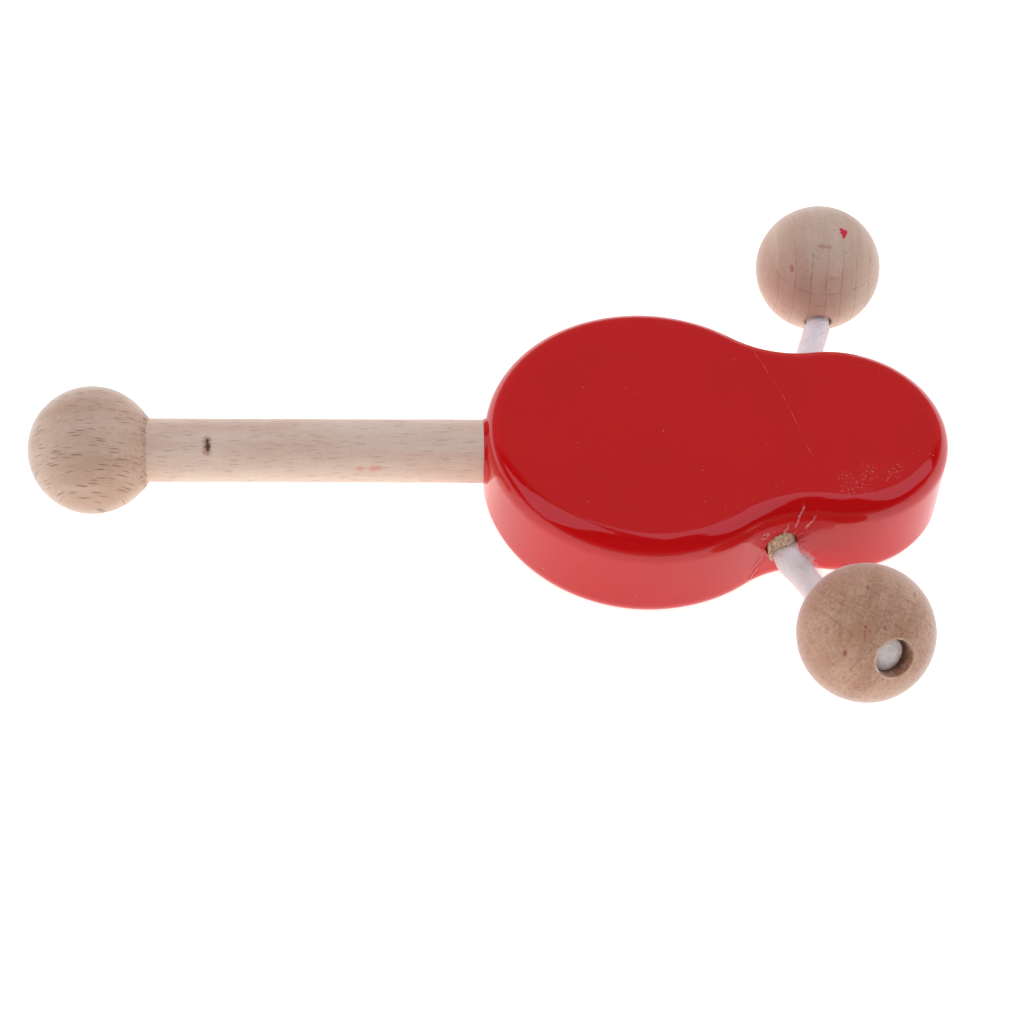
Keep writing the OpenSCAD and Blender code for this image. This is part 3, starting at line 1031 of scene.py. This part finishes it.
make_beater("near_beater_ball", NEAR_BALL, NEAR_WAY, "near_beater", "near_ball", beech(
    "brown beech ball", "#CCA084", "#BA8A6D", (0, -0.64, 0.77), (0.866, -0.385, -0.32), tuple(NEAR_BALL), 0.0,
    lines=((1.6, 0.4, 0.4, 1.5, 0), (2.1, 0.36, 0.45, 1.5, 0)), speckle=0.55, sheen=1.0,
    bore=(NEAR_BALL, NEAR_WAY, BORE_END_R),
    spots=[
        # painted shade: a broad orange-brown patch in the middle of the side that faces the camera, which
        # gets less light
        ((33.5, -50.5, 21.8), (31.5, -50.5, 20.8), 0.4, 3.6, "#B47A52", 0.4),
        ((35.44, -42.56, 24.89), (35.5, -42.7, 24.9), 0.05, 0.45, "#74352A", 0.9),
        ((33.44, -39.96, 24.04), (33.9, -41.2, 24.5), 0.1, 0.75, "#CC8C84", 0.5),
        ((35.52, -45.08, 24.77), (35.6, -45.3, 24.8), 0.05, 0.42, "#866040", 0.6),
        ((34.53, -49.74, 22.86), (34.6, -49.9, 22.8), 0.05, 0.42, "#8A3E28", 0.85),
        ((34.5, -50.4, 22.4), (34.33, -51.9, 21.2), 0, 0.34, "#9A5238", 0.6),
        ((37.97, -49.94, 22.98), (38, -50.2, 22.8), 0.05, 0.42, "#6E4232", 0.7),
        ((31.31, -52.26, 19), (31.2, -52.5, 18.7), 0.05, 0.48, "#8E3C2A", 0.85),
        ((31.3, -52.4, 18.9), (30.9, -53, 18.2), 0, 0.42, "#A05038", 0.6),
        ((30.57, -49.62, 21.1), (30.2, -50.1, 20.7), 0, 0.48, "#A05A40", 0.55),
        ((29.9, -50.6, 20.3), (29.7, -50.9, 20), 0, 0.4, "#A05A40", 0.5),
        ((44.2, -42.29, 22.7), (44.3, -42.6, 22.6), 0.05, 0.48, "#9A4A3C", 0.75),
        ((29.72, -44.39, 22.6), (29.8, -44.4, 22.6), 0.05, 0.38, "#7E5038", 0.7),
        ((33.47, -36.29, 22.3), (33.7, -36.3, 22.3), 0.05, 0.42, "#5E3428", 0.9),
    ],
))
make_beater("far_beater_ball", FAR_BALL, FAR_WAY, "far_beater", "far_ball", beech(
    "grey beech ball", "#D9BDA7", "#CCA992", (0, -0.99, -0.15), (1, 0, 0), tuple(FAR_BALL), 0.0,
    lines=((2.45, 0.5, 0.12, 0.5, 0.62), (3.05, 0.48, -0.2, 0.3, 0.2)), speckle=0.16,
    spots=[
        ((32.96, 38.8, 17.5), (33.2, 38.6, 16.5), 0.8, 3.6, "#A88078", 0.1),
        # painted against light: a broad greyer patch on the side that faces the block, offsetting the red
        # light that the lacquer throws on it
        ((34, 37.5, 12), (42, 37.5, 12), 2, 9, "#C2B8A2", 0.45),
        # painted shade: dark brown round the mouth of the bore, where the cord goes in
        (FAR_ROUTE[-1] / MM, FAR_ROUTE[-1] / MM + FAR_WAY, 2.5, 3.2, "#7E5240", 0.7),
        ((36.4, 43.8, 23.7), (38.5, 43.6, 23.7), 0.1, 0.55, "#B07A5C", 0.6),
        ((37.57, 46.8, 24.8), (37.6, 46.9, 24.8), 0.3, 1.2, "#D8B48C", 0.5),
        ((38.75, 39, 19.8), (39.8, 39, 19.7), 0, 0.55, "#BE8A3E", 0.6),
        ((31.16, 41.85, 20), (31.3, 41.4, 19.4), 0.1, 0.5, "#B0525A", 0.7),
        ((41.15, 47.7, 24.4), (41.45, 46.2, 24.2), 0.38, 0.48, "#D8203A", 1.0),
        ((41.95, 47.5, 24.3), (41.45, 46.2, 24.2), 0.38, 0.48, "#D8203A", 1.0),
        ((39.61, 47.2, 24.8), (39.62, 47.2, 24.8), 0.08, 0.25, "#A04048", 0.8),
    ],
))
peg_wood = raw_peg()
make_peg("near_peg_wood", NEAR, "near_peg", peg_wood)
make_peg("far_peg_wood", FAR, "far_peg", peg_wood)


# Studio
def make_floor():
    """White table that turns up into a low white border, lowest on the camera's side."""
    section = [
        (0.02, 0), (0.3, 0), (0.7, 0), (0.9, 0.004),
        (1.05, 0.04), (1.15, 0.12), (1.2, 0.25), (1.21, 0.38),
    ]
    sides = 96
    points = []
    for radius, z in section:
        for x, y in circle(sides):
            height = z * (0.15 + 0.85 * x**2 if y < 0 else 0.25 + 0.75 * x**4)
            points.append((radius * x, radius * y, height))
    faces = [face[::-1] for face in grid_faces(len(section), sides)]
    faces.append(tuple(range(sides)))
    mesh = new_mesh("table", points, faces)
    mesh.shade_smooth()
    place("table", mesh, white_floor())


def area_light(name, at, size, radiance):
    """Soft square lamp aimed at the object, not mirrored in it; a radiance of 1 is that of white paper."""
    data = bpy.data.lights.new(name, "AREA")
    data.shape = "SQUARE"
    data.size = size
    data.energy = radiance * math.pi * size**2
    data.color = (1, 0.985, 0.965)
    lamp = bpy.data.objects.new(name, data)
    lamp.location = at
    lamp.rotation_mode = "QUATERNION"
    lamp.rotation_quaternion = (-Vector(at)).to_track_quat("-Z", "Y")
    lamp.visible_glossy = False
    bpy.context.collection.objects.link(lamp)


def box_cloth():
    """White cloth of a soft box, lit a little cooler than the table."""
    material, tree, coords = start_material("soft box cloth")
    folds = even_noise(tree, coords, 0.004, 2)
    strength = ramp(tree, folds, 0.2, 0.8, 1.12, 1.25)
    glow = add(tree, "ShaderNodeEmission", None, {"Color": linear("#E2E9FF"), "Strength": strength})
    add(tree, "ShaderNodeOutputMaterial", inputs={"Surface": glow.outputs[0]})
    return material


def make_light():
    """Two wide soft boxes overhead with a wedge of dark room between them, a fill from behind and
    a weaker one from the camera's side."""
    height = 0.9
    boxes = {
        "left_box": [
            (0, 0.5), (-0.4, 0.3), (-0.65, 0.3), (-1.4, 0.68), (-1.3, 0.2), (-1.9, -0.35), (-1.9, -0.88),
            (-0.86, -0.54), (-0.46, -0.33), (-0.05, 0.12),
        ],
        "right_box": [
            (0.03, 0.6), (0.04, 0.27), (0.12, -0.04), (0.2, 0.2), (0.3, 0), (0.41, -0.2), (0.75, -0.44),
            (1, -0.41), (1.22, -0.06), (1.9, 0.4), (1, 0.54), (0.6, 0.6),
        ],
    }
    cloth = box_cloth()
    for name, corners in boxes.items():
        points = [(x, y, height) for x, y in corners]
        box = place(name, new_mesh(name, points, [tuple(range(len(points)))]), cloth)
        box.visible_shadow = False
    area_light("fill", (0, 0.7, 1.3), 1.6, 1.34)
    area_light("front_fill", (0, -0.9, 1), 1.2, 0.5)


def make_room():
    """White to the camera; the lacquer mirrors a dim room: a pale back wall and a glow at the horizon."""
    world = bpy.data.worlds.new("studio")
    world.use_nodes = True
    tree = world.node_tree
    tree.nodes.clear()
    way = add(tree, "ShaderNodeTexCoord").outputs["Generated"]
    part = parts_of(tree, way)
    wall = ramp(tree, part[1], 0.46, 0.57, 0.02, 0.265)
    horizon = ramp(tree, part[2], 0.55, 0, 0, 0.5)
    seen = add(tree, "ShaderNodeLightPath").outputs["Is Camera Ray"]
    strength = maths(tree, "MAXIMUM", maths(tree, "MAXIMUM", wall, horizon), seen)
    room = add(tree, "ShaderNodeBackground", None, {"Color": (1, 1, 1, 1), "Strength": strength})
    add(tree, "ShaderNodeOutputWorld", inputs={"Surface": room.outputs[0]})
    bpy.context.scene.world = world


make_floor()
make_light()
make_room()
bpy.context.scene.view_settings.view_transform = "Standard"
